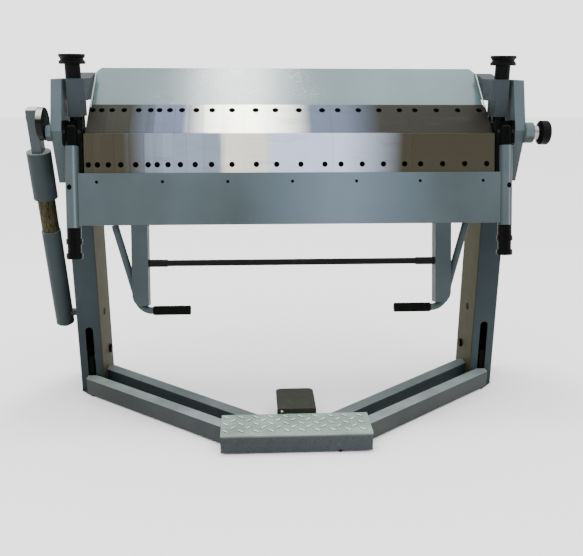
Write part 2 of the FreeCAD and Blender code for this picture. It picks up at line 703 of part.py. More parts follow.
pull_bar = rod(Vector(-bar_end, tube_front + 20, -pull_bar_drop),
               Vector(bar_end, tube_front + 20, -pull_bar_drop), pull_bar_radius)
for side in (-1, 1):
    pull_bar = pull_bar.fuse(rod(Vector(side * bar_end, tube_front + 20, -pull_bar_drop),
                                 Vector(side * (bar_end - pull_sleeve_length), tube_front + 20, -pull_bar_drop),
                                 pull_sleeve_radius))
save("pull_bar", hang(pull_bar.removeSplitter()))

# Crank: an eccentric disc on the left journal
crank = rod(Vector(-crank_inner, axis_y, axis_z + crank_offset),
            Vector(-crank_inner - crank_thickness, axis_y, axis_z + crank_offset), crank_radius)
crank = round_edges(crank, 1.5, lambda e: len(e.Vertexes) == 1)
crank = crank.cut(rod(Vector(-crank_inner + 1, axis_y, axis_z),
                      Vector(-crank_inner - crank_thickness - 1, axis_y, axis_z), journal_radius))
save("crank", crank)

# Balance strut: an outer sleeve with a flat rod slides over a bare tube, which stands in a painted tube
foot = Vector(-strut_x, strut_foot_y, strut_foot_z)
pin_centre = Vector(-strut_x, axis_y + crank_pin_back, axis_z + crank_pin_up)
strut_way = pin_centre.sub(foot).normalize()
strut_length = pin_centre.sub(foot).Length


def on_strut(distance):
    return foot.add(strut_way * distance)


sleeve_foot = 437.0
sleeve_head = 594.0
inner_head = 485.0
bush_length = 40.0
tube_head = 320.0
lower_tube = rod(on_strut(-40), on_strut(tube_head), strut_tube_radius)
lower_tube = lower_tube.cut(rod(on_strut(30), on_strut(tube_head + 1), strut_inner_radius))
lower_tube = lower_tube.fuse(Part.makeSphere(strut_tube_radius - 0.01, on_strut(-24)).common(
    rod(on_strut(-70), on_strut(-39), strut_tube_radius + 1))).removeSplitter()
pin_hole = rod(foot.add(Vector(-60, 0, 0)), foot.add(Vector(60, 0, 0)), strut_pin_radius + journal_clearance)
save("strut_lower_tube", lower_tube.cut(pin_hole))
inner_tube = rod(on_strut(30), on_strut(inner_head), strut_inner_radius)
inner_tube = inner_tube.cut(rod(on_strut(29), on_strut(inner_head - 8), strut_inner_radius - strut_wall))
inner_tube = inner_tube.cut(rod(on_strut(inner_head - 9), on_strut(inner_head + 1), 9.0))
save("strut_inner_tube", inner_tube)
sleeve = rod(on_strut(sleeve_foot), on_strut(sleeve_head), strut_sleeve_radius)
sleeve = sleeve.cut(rod(on_strut(sleeve_foot - 1), on_strut(sleeve_head - 10),
                        strut_inner_radius + journal_clearance))
sleeve = sleeve.cut(rod(on_strut(sleeve_foot + bush_length), on_strut(sleeve_head - 10),
                        strut_inner_radius + 4.0))
save("strut_sleeve", sleeve)
rod_top = strut_length + 29
flat = block(-strut_rod_width / 2, strut_rod_width / 2, -strut_rod_depth / 2, strut_rod_depth / 2,
             sleeve_head, rod_top)
flat = round_edges(flat, 8.0, lambda e: e.BoundBox.ZMin > rod_top - 0.1 and e.BoundBox.XLength > 5)
flat = placed(flat, foot, strut_way)
eye = rod(pin_centre.add(Vector(-30, 0, 0)), pin_centre.add(Vector(30, 0, 0)), crank_pin_radius)
save("strut_rod", flat.cut(eye))
pin_inner = -crank_inner - crank_thickness - running_gap
crank_pin = rod(Vector(pin_inner, pin_centre.y, pin_centre.z),
                Vector(-strut_x - strut_rod_width / 2 - 5, pin_centre.y, pin_centre.z), crank_pin_radius)
save("crank_pin", crank_pin)
foot_pin = rod(Vector(-inner_x - pin_recess, foot.y, foot.z), Vector(-strut_x - 24, foot.y, foot.z),
               strut_pin_radius)
save("strut_foot_pin", foot_pin)

# Right end: a lock knob on a steel collar in line with the fold axis
lock_bore = lock_shaft_radius + journal_clearance
collar = turned([(lock_bore, 0), (22, 0), (22, collar_length), (lock_bore, collar_length)],
                Vector(boss_face_right, axis_y, axis_z), Vector(1, 0, 0))
save("lock_collar", collar)
lock_profile = [(0, -collar_length), (lock_shaft_radius, -collar_length), (lock_shaft_radius, 0), (14, 0), (30, 5),
                (37.5, 9), (37.5, lock_knob_length - 4), (34, lock_knob_length), (0, lock_knob_length)]
lock_knob = turned(lock_profile, Vector(boss_face_right + collar_length + running_gap, axis_y, axis_z),
                   Vector(1, 0, 0))
save("lock_knob", lock_knob)

# Treadle: two pairs of square tubes from the legs to the step plate, with arms through the leg slots
tube_foot = treadle_clearance
tube_top_z = treadle_clearance + treadle_tube_height
front_start = Vector(treadle_leg_inset - outer_half_width, leg_front - treadle_leg_gap, 0)
front_end = Vector(-step_half_width - front_tube_step_side, step_front + front_tube_step_overlap, 0)
rear_start = Vector(rear_tube_leg_gap - leg_inner, leg_front + rear_tube_reach, 0)
rear_end = Vector(rear_tube_step_inset - step_half_width, step_back + rear_tube_step_overlap, 0)
bearer_back = step_front + 5 + treadle_tube_width


def treadle_tube(start, end, keep):
    way = end.sub(start).normalize()
    across = Vector(-way.y, way.x, 0)
    first = start.sub(way * 100)
    last = end.add(way * 250)
    outside = [first, last, last.add(across * treadle_tube_width), first.add(across * treadle_tube_width)]
    wall = treadle_tube_wall
    inside = [first.add(across * wall), last.add(across * wall), last.add(across * (treadle_tube_width - wall)),
              first.add(across * (treadle_tube_width - wall))]
    tube = profile_z([(p.x, p.y) for p in outside], tube_foot, tube_top_z)
    hollow = profile_z([(p.x, p.y) for p in inside], tube_foot + wall, tube_top_z - wall)
    return tube.cut(hollow).common(keep)


front_keep = block(treadle_leg_inset - outer_half_width, -20, bearer_back, leg_front - 3, 0, 100)
rear_keep = block(rear_tube_leg_gap - inner_x, -0.2, bearer_back, leg_back, 0, 100)
front_tube = treadle_tube(front_start, front_end, front_keep)
rear_tube = treadle_tube(rear_start, rear_end, rear_keep)
rear_tube = rear_tube.cut(block(-inner_x, -inner_x + 30, 0, leg_back, 0, 100))
save("treadle_front_tubes", [front_tube, mirrored(front_tube)])
save("treadle_rear_tubes", [rear_tube, mirrored(rear_tube)])

# Treadle arms: steel plates inside the legs, from the pivot bolts through the slots to the front tubes
arm_outline = [
    (treadle_pivot_y + 26, treadle_pivot_z + 20), (treadle_pivot_y + 26, treadle_pivot_z - 22),
    (treadle_pivot_y - 10, 30), (leg_front - 3, 16), (leg_front - 3, 54), (leg_front - 1, 95),
    (leg_front + 1, treadle_pivot_z + 18), (treadle_pivot_y, treadle_pivot_z + 26),
]
arm_plate = profile_x(arm_outline, leg_x - treadle_arm_thickness / 2, leg_x + treadle_arm_thickness / 2)
pivot_pin_radius = 10.0
arm_plate = arm_plate.cut(rod(Vector(leg_x - 20, treadle_pivot_y, treadle_pivot_z),
                              Vector(leg_x + 20, treadle_pivot_y, treadle_pivot_z),
                              pivot_pin_radius + journal_clearance))
clamp_lever_end = math.hypot(treadle_lever, clamp_travel)
slot_half = lift_stub_radius + lift_slot_clearance
slot_near = treadle_pivot_y - treadle_lever
slot_far = treadle_pivot_y - clamp_lever_end
stub_slot = block(arm_inner - 1, arm_outer + 1, slot_far, slot_near, treadle_pivot_z - slot_half,
                  treadle_pivot_z + slot_half)
for y in (slot_near, slot_far):
    stub_slot = stub_slot.fuse(rod(Vector(arm_inner - 1, y, treadle_pivot_z),
                                   Vector(arm_outer + 1, y, treadle_pivot_z), slot_half))
arm_plate = arm_plate.cut(stub_slot)
save("treadle_arms", [arm_plate, mirrored(arm_plate)])
pivot_bolts = []
for side in (-1, 1):
    shank = rod(Vector(side * (inner_x + 0), treadle_pivot_y, treadle_pivot_z),
                Vector(side * outer_half_width, treadle_pivot_y, treadle_pivot_z), pivot_pin_radius)
    hexagon = [Vector(0, 15 * math.cos(k * math.pi / 3), 15 * math.sin(k * math.pi / 3)) for k in range(6)]
    hexagon = [p.add(Vector(side * (inner_x - 9), treadle_pivot_y, treadle_pivot_z)) for p in hexagon]
    head = Part.Face(Part.makePolygon(hexagon + hexagon[:1])).extrude(Vector(side * 9, 0, 0))
    pivot_bolts.append(shank.fuse(head).removeSplitter())
save("treadle_pivot_bolts", pivot_bolts)

# Step plate: bent checker plate on a cross tube
bearer = block(-step_half_width + 8, step_half_width - 8, bearer_back - treadle_tube_width, bearer_back,
               tube_foot, tube_top_z)
bearer = round_edges(bearer, 5.0, lambda e: along_x(e) and e.BoundBox.YMax < step_front + 6
                     and e.BoundBox.ZMin > tube_top_z - 1)
bearer = bearer.cut(block(-step_half_width, step_half_width, bearer_back - treadle_tube_width + 3,
                          bearer_back - 3, tube_foot + 3, tube_top_z - 6))
save("step_bearer", bearer)
bend = 9.0
lip_foot = treadle_clearance + 1
step_top = tube_top_z + step_thickness
outer = block(-step_half_width, step_half_width, step_front, step_back, lip_foot, step_top)
outer = round_edges(outer, bend, lambda e: along_x(e) and e.BoundBox.YMax < step_front + 1
                    and e.BoundBox.ZMin > step_top - 1)
inner = block(-step_half_width - 1, step_half_width + 1, step_front + step_thickness, step_back + 1,
              lip_foot - 1, tube_top_z)
inner = round_edges(inner, bend - step_thickness, lambda e: along_x(e) and e.BoundBox.YMax < step_front + 6
                    and e.BoundBox.ZMin > tube_top_z - 1)
save("step_plate", outer.cut(inner))

# Heel plate: a black bent plate welded behind the step plate by its front flange, which has one hole
heel_top = step_top + heel_rise
heel_front = step_back
heel_back = heel_front + heel_depth
heel = block(heel_left, heel_right, heel_front, heel_back, heel_top - heel_thickness, heel_top)
heel = round_edges(heel, 18.0, lambda e: abs(e.BoundBox.ZLength - heel_thickness) < 1e-6
                   and e.BoundBox.YMin > heel_back - 1)
flange = block(heel_left, heel_right, heel_front, heel_front + heel_thickness, tube_top_z, heel_top - 1)
heel = heel.fuse(flange).removeSplitter()
heel = heel.cut(rod(Vector(heel_left + 15, heel_front - 1, heel_top - 9),
                    Vector(heel_left + 15, heel_front + 10, heel_top - 9), 4.0))
save("heel_plate", heel)

print("strut length", round(strut_length, 1), "pin", pin_centre, "foot", foot)
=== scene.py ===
import math

import bmesh
import bpy
from mathutils import Euler, Matrix, Vector


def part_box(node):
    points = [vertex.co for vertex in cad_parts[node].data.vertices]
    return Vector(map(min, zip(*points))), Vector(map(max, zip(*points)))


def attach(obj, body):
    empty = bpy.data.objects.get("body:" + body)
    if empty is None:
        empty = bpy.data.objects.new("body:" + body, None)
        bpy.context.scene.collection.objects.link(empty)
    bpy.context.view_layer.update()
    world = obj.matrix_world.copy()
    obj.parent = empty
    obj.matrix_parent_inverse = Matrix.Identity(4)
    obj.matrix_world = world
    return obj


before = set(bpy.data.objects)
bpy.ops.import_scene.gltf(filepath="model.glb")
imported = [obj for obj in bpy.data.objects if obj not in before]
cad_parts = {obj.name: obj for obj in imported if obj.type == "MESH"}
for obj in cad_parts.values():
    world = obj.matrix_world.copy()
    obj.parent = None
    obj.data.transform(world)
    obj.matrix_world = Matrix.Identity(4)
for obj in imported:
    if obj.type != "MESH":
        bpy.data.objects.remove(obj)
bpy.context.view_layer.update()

# Legs, side plates and bed: folded and welded sheet and plate, sprayed with blue-grey machine
# enamel. The paint is satin, with a fine orange peel, a little wear and some dust.


class Shade:
    """A socket of one material. Arithmetic on it adds Math nodes."""

    def __init__(self, tree, link=None):
        self.tree = tree
        self.link = link

    def node(self, kind, settings=None, sockets=None, out=0):
        made = self.tree.nodes.new("ShaderNode" + kind)
        for name, value in (settings or {}).items():
            if name == "stops":
                ramp = made.color_ramp
                ramp.elements.remove(ramp.elements[1])
                for place, (at, tint) in enumerate(value):
                    stop = ramp.elements[0] if place == 0 else ramp.elements.new(at)
                    stop.position = at
                    stop.color = (*tint, 1) if isinstance(tint, tuple) else (tint, tint, tint, 1)
            elif name == "steps":
                made.color_ramp.interpolation = value
            else:
                setattr(made, name, value)
        for name, value in (sockets or {}).items():
            socket = made.inputs[name]
            if isinstance(value, Shade):
                self.tree.links.new(value.link, socket)
            elif socket.type == "RGBA":
                socket.default_value = (*value, 1)
            else:
                socket.default_value = value
        return Shade(self.tree, made.outputs[out])

    def maths(self, operation, first, second=0.0):
        return self.node("Math", {"operation": operation}, {0: first, 1: second})

    def __add__(self, other):
        return self.maths("ADD", self, other)

    def __radd__(self, other):
        return self.maths("ADD", other, self)

    def __sub__(self, other):
        return self.maths("SUBTRACT", self, other)

    def __rsub__(self, other):
        return self.maths("SUBTRACT", other, self)

    def __mul__(self, other):
        return self.maths("MULTIPLY", self, other)

    def __rmul__(self, other):
        return self.maths("MULTIPLY", other, self)

    def __truediv__(self, other):
        return self.maths("DIVIDE", self, other)

    def __pow__(self, other):
        return self.maths("POWER", self, other)

    def __abs__(self):
        return self.maths("ABSOLUTE", self)

    def ramp(self, stops, steps="LINEAR"):
        return self.node("ValToRGB", {"stops": stops, "steps": steps}, {"Fac": self})

    def clear(self, low, high):
        """Zero below low, one above high."""
        return self.node("MapRange", {}, {"Value": self, "From Min": low, "From Max": high})

    def blend(self, under, over):
        """Colour under where this mask is 0, colour over where it is 1."""
        return self.node("Mix", {"data_type": "RGBA"}, {0: self, 6: under, 7: over}, out=2)

    def place(self):
        return self.node("TexCoord", out=3)

    def axis(self, which):
        return self.node("SeparateXYZ", {}, {0: self.place()}, out="XYZ".index(which))

    def facing(self, which):
        """How far the surface faces along one axis, from -1 to 1."""
        normal = self.node("NewGeometry", out=1)
        return self.node("SeparateXYZ", {}, {0: normal}, out="XYZ".index(which))

    def stretched(self, x, y, z):
        return self.node("Mapping", {}, {"Vector": self.place(), "Scale": (x, y, z)})

    def cloud(self, scale, detail=3.0, rough=0.55, where=None):
        sockets = {"Vector": where or self.place(), "Scale": scale}
        return self.node("TexNoise", {}, {**sockets, "Detail": detail, "Roughness": rough})

    def bump(self, height, strength, distance):
        sockets = {"Height": height, "Strength": strength, "Distance": distance}
        return self.node("Bump", {}, sockets)


def surface(name):
    """A new material, a Shade of it and its shader."""
    material = bpy.data.materials.new(name)
    material.use_nodes = True
    tree = material.node_tree
    return material, Shade(tree), tree.nodes["Principled BSDF"]


def feed(shade, shader, **sockets):
    """Set or link the shader's sockets; an underscore stands for a space."""
    for name, value in sockets.items():
        socket = shader.inputs[name.replace("_", " ")]
        if isinstance(value, Shade):
            shade.tree.links.new(value.link, socket)
        else:
            socket.default_value = value


def enamel(name, colour, dust_and_sheen=0.25, wear=0.35, gloss=0.42, shine=0.12, peel_depth=0.12,
           top=(0.20, 0.21, 0.195), upright_brown=0.0, inner=None, under=None, gleam=None,
           sparkle_glints=None, rub_and_highlight=None, sheen_patch=None):
    """Machine enamel: cloudy tone, orange peel, a pale top tone on lying faces, which is dust and
    on some pieces painted light, a brown tone on upright faces and fine chips. The rest is for
    single pieces: a painted warm reflection on faces that look inwards, painted shade on faces
    that look down, a painted highlight along a tube with painted shade at its sides, painted
    glints of sparkle on a sloping front, a painted highlight along a bent front edge and a
    painted reflection as a paler middle."""
    material, shade, shader = surface(name)
    light = tuple(c * 1.22 for c in colour)
    dark = tuple(c * 0.80 for c in colour)
    upright_brown_tone = (0.085, 0.075, 0.064)
    chip_dark = (0.035, 0.035, 0.032)
    glint_pale = (0.42, 0.47, 0.46)
    tone = shade.cloud(2.2, 4.0).clear(0.35, 0.65).blend(dark, light)
    tone = (shade.cloud(14.0, 5.0).clear(0.45, 0.75) * 0.3).blend(tone, colour)
    up = shade.facing("Z")
    upright = 1.0 - up.clear(0.2, 0.7)
    browned = upright * shade.cloud(5.0, 5.0).clear(0.2, 0.7) * upright_brown
    tone = browned.blend(tone, upright_brown_tone)
    top_patchiness = 0.45 + shade.cloud(9.0, 6.0).clear(0.3, 0.8) * 0.55
    tone = (up.clear(0.55, 1.0) * top_patchiness * dust_and_sheen).blend(tone, top)
    if inner:
        # Painted warm reflection on the faces that look inwards.
        inwards = shade.facing("X") * shade.axis("X") * -1.0
        tone = inwards.clear(0.3, 0.5).blend(tone, inner)
    if under:
        tone = (up * -1.0).clear(0.15, 0.45).blend(tone, under)
    if gleam:
        # Painted highlight: a streak along the tube, with painted shade at its sides.
        turned = shade.facing("X")
        gleam_turn, gleam_reach = 0.36, 0.20
        streak = 1.0 - abs(turned - gleam_turn) / gleam_reach
        shadow = tuple(c * 0.45 for c in colour)
        tone = abs(turned).clear(0.45, 1.0).blend(tone, shadow)
        tone = streak.clear(0.0, 1.0).blend(tone, gleam)
    if sparkle_glints:
        # Painted glints: pale specks of sparkle where the light falls on the sloping front.
        middle, reach = sparkle_glints
        patch = (1.0 - abs(shade.axis("X") - middle) / reach).clear(0.0, 0.5)
        frontward = shade.facing("Y") * -1.0
        glint = shade.cloud(230.0, 2.0).clear(0.60, 0.66) * shade.cloud(9.0, 4.0).clear(0.46, 0.60)
        tone = (glint * patch * frontward.clear(0.2, 0.4)).blend(tone, glint_pale)
    if rub_and_highlight:
        # Painted highlight along the rounded bend of the front edge.
        front, top_face, reach, highlight_tone = rub_and_highlight
        bend_depth = 0.003
        bend = ((shade.axis("Z") - (top_face - reach)) / reach).clear(0.0, 1.0) ** 2.0
        bend = bend * shade.maths("LESS_THAN", shade.axis("Y"), front + bend_depth)
        uneven = 0.5 + shade.cloud(7.0, 4.0).clear(0.3, 0.6) * 0.5
        tone = (bend * uneven).blend(tone, highlight_tone)
    if sheen_patch:
        # Painted reflection: a soft paler patch across the middle.
        middle, reach, sheen_tone = sheen_patch
        spread = 1.0 - abs(shade.axis("X") - middle) / reach
        uneven = 0.7 + shade.cloud(3.0, 4.0) * 0.6
        tone = (spread.clear(0.0, 0.9) * uneven).blend(tone, sheen_tone)
    chips = shade.cloud(120.0, 3.0).clear(0.735, 0.75)
    chips = chips * shade.cloud(6.0, 2.0).clear(0.5, 0.62) * wear
    tone = chips.blend(tone, chip_dark)
    peel = shade.cloud(420.0, 2.0) * 0.6 + shade.cloud(60.0, 2.0) * 0.4
    rough = gloss + shade.cloud(24.0, 4.0) * 0.14 + chips * 0.2
    feed(shade, shader, Base_Color=tone, Roughness=rough, Metallic=0.0, Specular_IOR_Level=shine,
         Normal=shade.bump(peel - chips * 2.0, peel_depth, 0.0006))
    return material


def dress(material, *nodes, edge=0.0012):
    """Give CAD nodes a material and a fine rounding of their edges."""
    for node in nodes:
        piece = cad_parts[node]
        piece.data.materials.clear()
        piece.data.materials.append(material)
        if edge:
            soft = piece.modifiers.new("edge", "BEVEL")
            soft.width = edge
            soft.segments = 2
            soft.limit_method = "ANGLE"
            soft.angle_limit = math.radians(35)
            soft.harden_normals = True


def machine_blue_lit(light_share=1.0):
    """The enamel's blue-grey times a share of light: painted shade below 1, painted light above.
    """
    return tuple(c * light_share for c in (0.056, 0.075, 0.083))


# A painted warm reflection on the inner faces of the legs.
inner_warm_reflection = (0.040, 0.038, 0.018)
# Each piece gets the same enamel, darker or lighter by its share of light: painted shade on the
# legs, painted light on the side plates.
leg_enamel = enamel("leg enamel", machine_blue_lit(0.50), dust_and_sheen=0.05, gloss=0.55, shine=0.05,
                    inner=inner_warm_reflection)
dress(leg_enamel, "leg_left", "leg_right")
side_shadow = (0.028, 0.038, 0.036)
side_enamel = enamel("side plate enamel", machine_blue_lit(1.2), dust_and_sheen=0.1, under=side_shadow)
dress(side_enamel, "side_plate_left", "side_plate_right")
bed_enamel = enamel("bed enamel", machine_blue_lit(), dust_and_sheen=0.15, wear=0.5)
dress(bed_enamel, "bed_beam")

# Clamping beam: plate folded and welded to a closed box, in a glossier enamel, and its two cast
# end brackets. Each bracket is bolted to the beam's end and holds a clamp spindle.
# The beam's enamel is lighter than the rest: painted light on its sloping front, which faces up.
beam_blue_lit = (0.074, 0.124, 0.132)
# The beam carries painted glints of sparkle near the middle of its sloping front.
beam_enamel = enamel("beam enamel", beam_blue_lit, dust_and_sheen=0.0, wear=0.3, gloss=0.08, shine=0.5,
                     peel_depth=0.6, sparkle_glints=(-0.14, 0.34))
dress(beam_enamel, "clamp_beam")
cast_enamel = enamel("cast enamel", machine_blue_lit(0.5), dust_and_sheen=0.15, wear=0.3)
dress(cast_enamel, "clamp_bracket_left", "clamp_bracket_right", edge=0.002)

# Beam end welds: beads where the end brackets meet the sloping plate, painted over with glossy
# enamel. Their pale colour is a painted highlight, a thin bright line at each end of the plate.


def added_piece(name, bm, material, body):
    """Turn mesh code into a piece that rides on a body."""
    bmesh.ops.recalc_face_normals(bm, faces=bm.faces)
    mesh = bpy.data.meshes.new(name)
    bm.to_mesh(mesh)
    bm.free()
    piece = bpy.data.objects.new(name, mesh)
    bpy.context.scene.collection.objects.link(piece)
    piece.data.materials.append(material)
    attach(piece, body)


def standing(centre, out):
    """A placing at centre whose Z axis points out."""
    return Matrix.Translation(centre) @ out.to_track_quat("Z", "Y").to_matrix().to_4x4()


def ring(bm, place, radius, rise, sides):
    """A ring of corners around the Z axis of a placing."""
    corners = []
    for k in range(sides):
        angle = k * 2 * math.pi / sides
        spot = Vector((math.cos(angle) * radius, math.sin(angle) * radius, rise))
        corners.append(bm.verts.new(place @ spot))
    return corners


def skin(bm, rings):
    """Join each ring of corners to the next with four-sided faces."""
    for one, two in zip(rings, rings[1:]):
        count = len(one)
        for k in range(count):
            after = (k + 1) % count
            bm.faces.new((one[k], one[after], two[after], two[k]))


def cap(bm, rings):
    """Close the last and the first ring."""
    bm.faces.new(rings[-1])
    bm.faces.new(list(reversed(rings[0])))


def bead(bm, start, end, radius):
    """A weld bead: a row of overlapping flattened ripples from start to end."""
    run = end - start
    count = max(4, int(run.length / (radius * 0.9)))
    rings = []
    for i in range(count * 2 + 1):
        swell = 1.0 if i % 2 else 0.80
        place = standing(start + run * (i / (count * 2)), run)
        rings.append(ring(bm, place, radius * swell, 0.0, 8))
    skin(bm, rings)
    cap(bm, rings)


weld_highlight_enamel = enamel("weld highlight enamel", (0.42, 0.47, 0.46), dust_and_sheen=0.0, wear=0.2, gloss=0.16, shine=0.6)
finger_lean = math.radians(40)
slope_up = Vector((0, math.cos(finger_lean), math.sin(finger_lean)))
plate_out = Vector((0, -math.sin(finger_lean), math.cos(finger_lean)))
plate_end = 0.6335
plate_foot = Vector((0, -0.1145, 0.9773))
weld_lift = 0.0004
weld_start = 0.012
weld_length = 0.158
weld_radius = 0.0026
bm = bmesh.new()
for side in (-1, 1):
    foot = plate_foot + Vector((side * plate_end, 0, 0))
    foot = foot + plate_out * weld_lift + slope_up * weld_start
    bead(bm, foot, foot + slope_up * weld_length, weld_radius)
added_piece("beam_end_welds", bm, weld_highlight_enamel, "clamp")

# Finger segments: tool steel blocks ground on their faces, bolted side by side in two rows.
# Grinding leaves a fine grain along the width, and each block has a slightly different tone.
segment_widths = [25, 30, 35, 40, 50, 25, 30, 35, 40, 50, 50, 75, 75, 200, 250, 260]
segment_gap = 0.3
row_length = sum(segment_widths) + segment_gap * (len(segment_widths) - 1)


def ground_steel(name, bands, block_tones, hole, into):
    """Ground steel: painted reflections as dark ends and lavender and straw bands along the
    width, a small step of tone from block to block, and painted black shade in the screw
    holes, which stand at hole and go into."""
    material, shade, shader = surface(name)
    tones = []
    left = 0.0
    for width, level in zip(segment_widths, block_tones):
        tones.append((left / row_length, level))
        left += width + segment_gap
    half_row = row_length / 2000
    along = (shade.axis("X") + half_row) / (2 * half_row)
    block = along.ramp(tones, "CONSTANT")
    sway = shade.cloud(1.0, 2.0, 0.5, shade.stretched(1.5, 4.0, 4.0)) * 0.05 - 0.025
    band = (along + block * 0.04 - 0.02 + sway * 0.6).ramp(bands)
    grain = shade.cloud(1.0, 4.0, 0.6, shade.stretched(9.0, 900.0, 900.0))
    level = (0.78 + block * 0.22) * (0.9 + grain * 0.2)
    tone = level.blend((0.0, 0.0, 0.0), band)
    smear = shade.cloud(1.0, 5.0, 0.6, shade.stretched(6.0, 30.0, 30.0)).clear(0.55, 0.8) * 0.3
    tone = smear.blend(tone, (0.05, 0.045, 0.035))
    # Painted shade: the walls of the screw holes below the face are black.
    face_depth = hole[1] * into[1] + hole[2] * into[2]
    depth = shade.axis("Y") * into[1] + shade.axis("Z") * into[2] - face_depth
    hole_row = hole[1] * into[2] - hole[2] * into[1]
    row = shade.axis("Y") * into[2] - shade.axis("Z") * into[1] - hole_row
    hole_reach = 0.0100
    near = shade.maths("LESS_THAN", abs(row), hole_reach)
    hole_shade = near * depth.clear(0.00003, 0.00012)
    tone = hole_shade.blend(tone, (0.004, 0.004, 0.004))
    rough = 0.42 + grain * 0.1 + smear * 0.25
    feed(shade, shader, Base_Color=tone, Metallic=0.9 - hole_shade * 0.9, Roughness=rough,
         Normal=shade.bump(grain, 0.10, 0.0003))
    return material


finger_tip = Vector((0, -0.192, 0.9125))
hole_up_finger = 0.100
finger_hole = finger_tip + slope_up * hole_up_finger
# The bands along each row are painted reflections: dark ends, lavender and blue between, and a
# straw highlight.
upper_dark_reflection = (0.014, 0.014, 0.010)
upper_lavender_reflection = (0.055, 0.068, 0.100)
upper_straw_highlight = (1.0, 0.99, 0.86)
upper_reflection_bands = [
    (0.0, upper_dark_reflection), (0.11, upper_dark_reflection), (0.18, upper_lavender_reflection), (0.24, upper_lavender_reflection),
    (0.36, upper_straw_highlight), (0.42, upper_straw_highlight), (0.55, upper_lavender_reflection), (0.64, upper_lavender_reflection),
    (0.73, upper_dark_reflection), (1.0, upper_dark_reflection)]
upper_tones = [0.6, 0.35, 0.8, 0.45, 0.7, 0.4, 0.75, 0.5,
               0.65, 0.45, 0.8, 0.55, 0.65, 0.5, 0.6, 0.5]
upper_steel = ground_steel("upper segment steel", upper_reflection_bands, upper_tones, finger_hole,
                           plate_out * -1)
leaf_lean = math.radians(13)
leaf_out = Vector((0, -math.cos(leaf_lean), math.sin(leaf_lean)))
leaf_down = Vector((0, -math.sin(leaf_lean), -math.cos(leaf_lean)))
fold_height = 0.912
leaf_thickness = 0.020
leaf_front = -0.1945 - leaf_thickness / math.cos(leaf_lean)
leaf_top = Vector((0, leaf_front, fold_height))
hole_down_leaf = 0.0943
leaf_dark_reflection = (0.055, 0.050, 0.034)
leaf_lavender_reflection = (0.27, 0.32, 0.41)
leaf_straw_highlight = (0.92, 0.89, 0.78)
leaf_blue_reflection = (0.64, 0.74, 0.96)
leaf_reflection_bands = [
    (0.0, leaf_dark_reflection), (0.10, leaf_dark_reflection), (0.19, leaf_lavender_reflection), (0.32, leaf_lavender_reflection),
    (0.345, leaf_straw_highlight), (0.43, leaf_straw_highlight), (0.455, leaf_blue_reflection), (0.63, leaf_blue_reflection),
    (0.78, leaf_dark_reflection), (1.0, leaf_dark_reflection)]
leaf_tones = [0.45, 0.7, 0.5, 0.65, 0.4, 0.75, 0.5, 0.6,
              0.45, 0.7, 0.5, 0.6, 0.45, 0.55, 0.62, 0.5]
leaf_steel = ground_steel("leaf segment steel", leaf_reflection_bands, leaf_tones,
                          leaf_top + leaf_down * hole_down_leaf, leaf_out * -1)
for width in sorted(set(segment_widths)):
    dress(upper_steel, "upper_segments_%d" % width, edge=0.0003)
    dress(leaf_steel, "leaf_segments_%d" % width, edge=0.0003)

# Segment screws: blackened socket head screws, sunk in the holes of the segments.
# Oil keeps them dark.


def blackened(name, colour, gloss, metal=0.0, shine=0.1):
    """Oil-blackened steel with rubbed spots."""
    material, shade, shader = surface(name)
    rub_and_highlight = shade.cloud(35.0, 5.0).clear(0.55, 0.8)
    tone = (rub_and_highlight * 0.4).blend(colour, tuple(c * 3.0 + 0.001 for c in colour))
    feed(shade, shader, Base_Color=tone, Metallic=metal, Specular_IOR_Level=shine,
         Roughness=gloss + shade.cloud(90.0, 4.0) * 0.16,
         Normal=shade.bump(shade.cloud(300.0, 3.0), 0.1, 0.0004))
    return material


screw_black = blackened("screw black", (0.0015, 0.0015, 0.0015), 0.6, shine=0.03)
dress(screw_black, "upper_segment_screws", "leaf_segment_screws", edge=0)

# Hole shade: a black ring in and around the screw holes of the upper segments, which paints the
# shade of the holes. It follows the screws, and is a little wider near x = -0.12, where the light
# falls.


def screw_middles(node):
    """Middles along X of the screws that share a node."""
    screw_gap = 0.004
    past_the_last = 9.0
    places = sorted(corner.co.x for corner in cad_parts[node].data.vertices)
    middles = []
    first = last = places[0]
    for x in places[1:] + [past_the_last]:
        if x - last > screw_gap:
            middles.append((first + last) / 2)
            first = x
        last = x
    return middles


hole_radius = 0.0078
shade_ring_radius = 0.0091
shade_ring_rise = 0.0002
widest_shade_at = -0.12
bm = bmesh.new()
for x in screw_middles("upper_segment_screws"):
    place = standing(Vector((x, finger_hole[1], finger_hole[2])), plate_out)
    reach = shade_ring_radius + 0.0012 * max(0.0, 1.0 - abs(x - widest_shade_at) / 0.40)
    outline = ((hole_radius, -0.0020), (hole_radius + 0.0001, shade_ring_rise),
               (reach, shade_ring_rise), (reach + 0.0002, -0.0001))
    skin(bm, [ring(bm, place, radius, rise, 32) for radius, rise in outline])
added_piece("upper_hole_shade", bm, screw_black, "clamp")

# Clamp knobs and stop posts: turned steel, blackened; the knobs have a waist between two rims.
# The lock knob is turned the same way. All these knobs have a knurled rim.


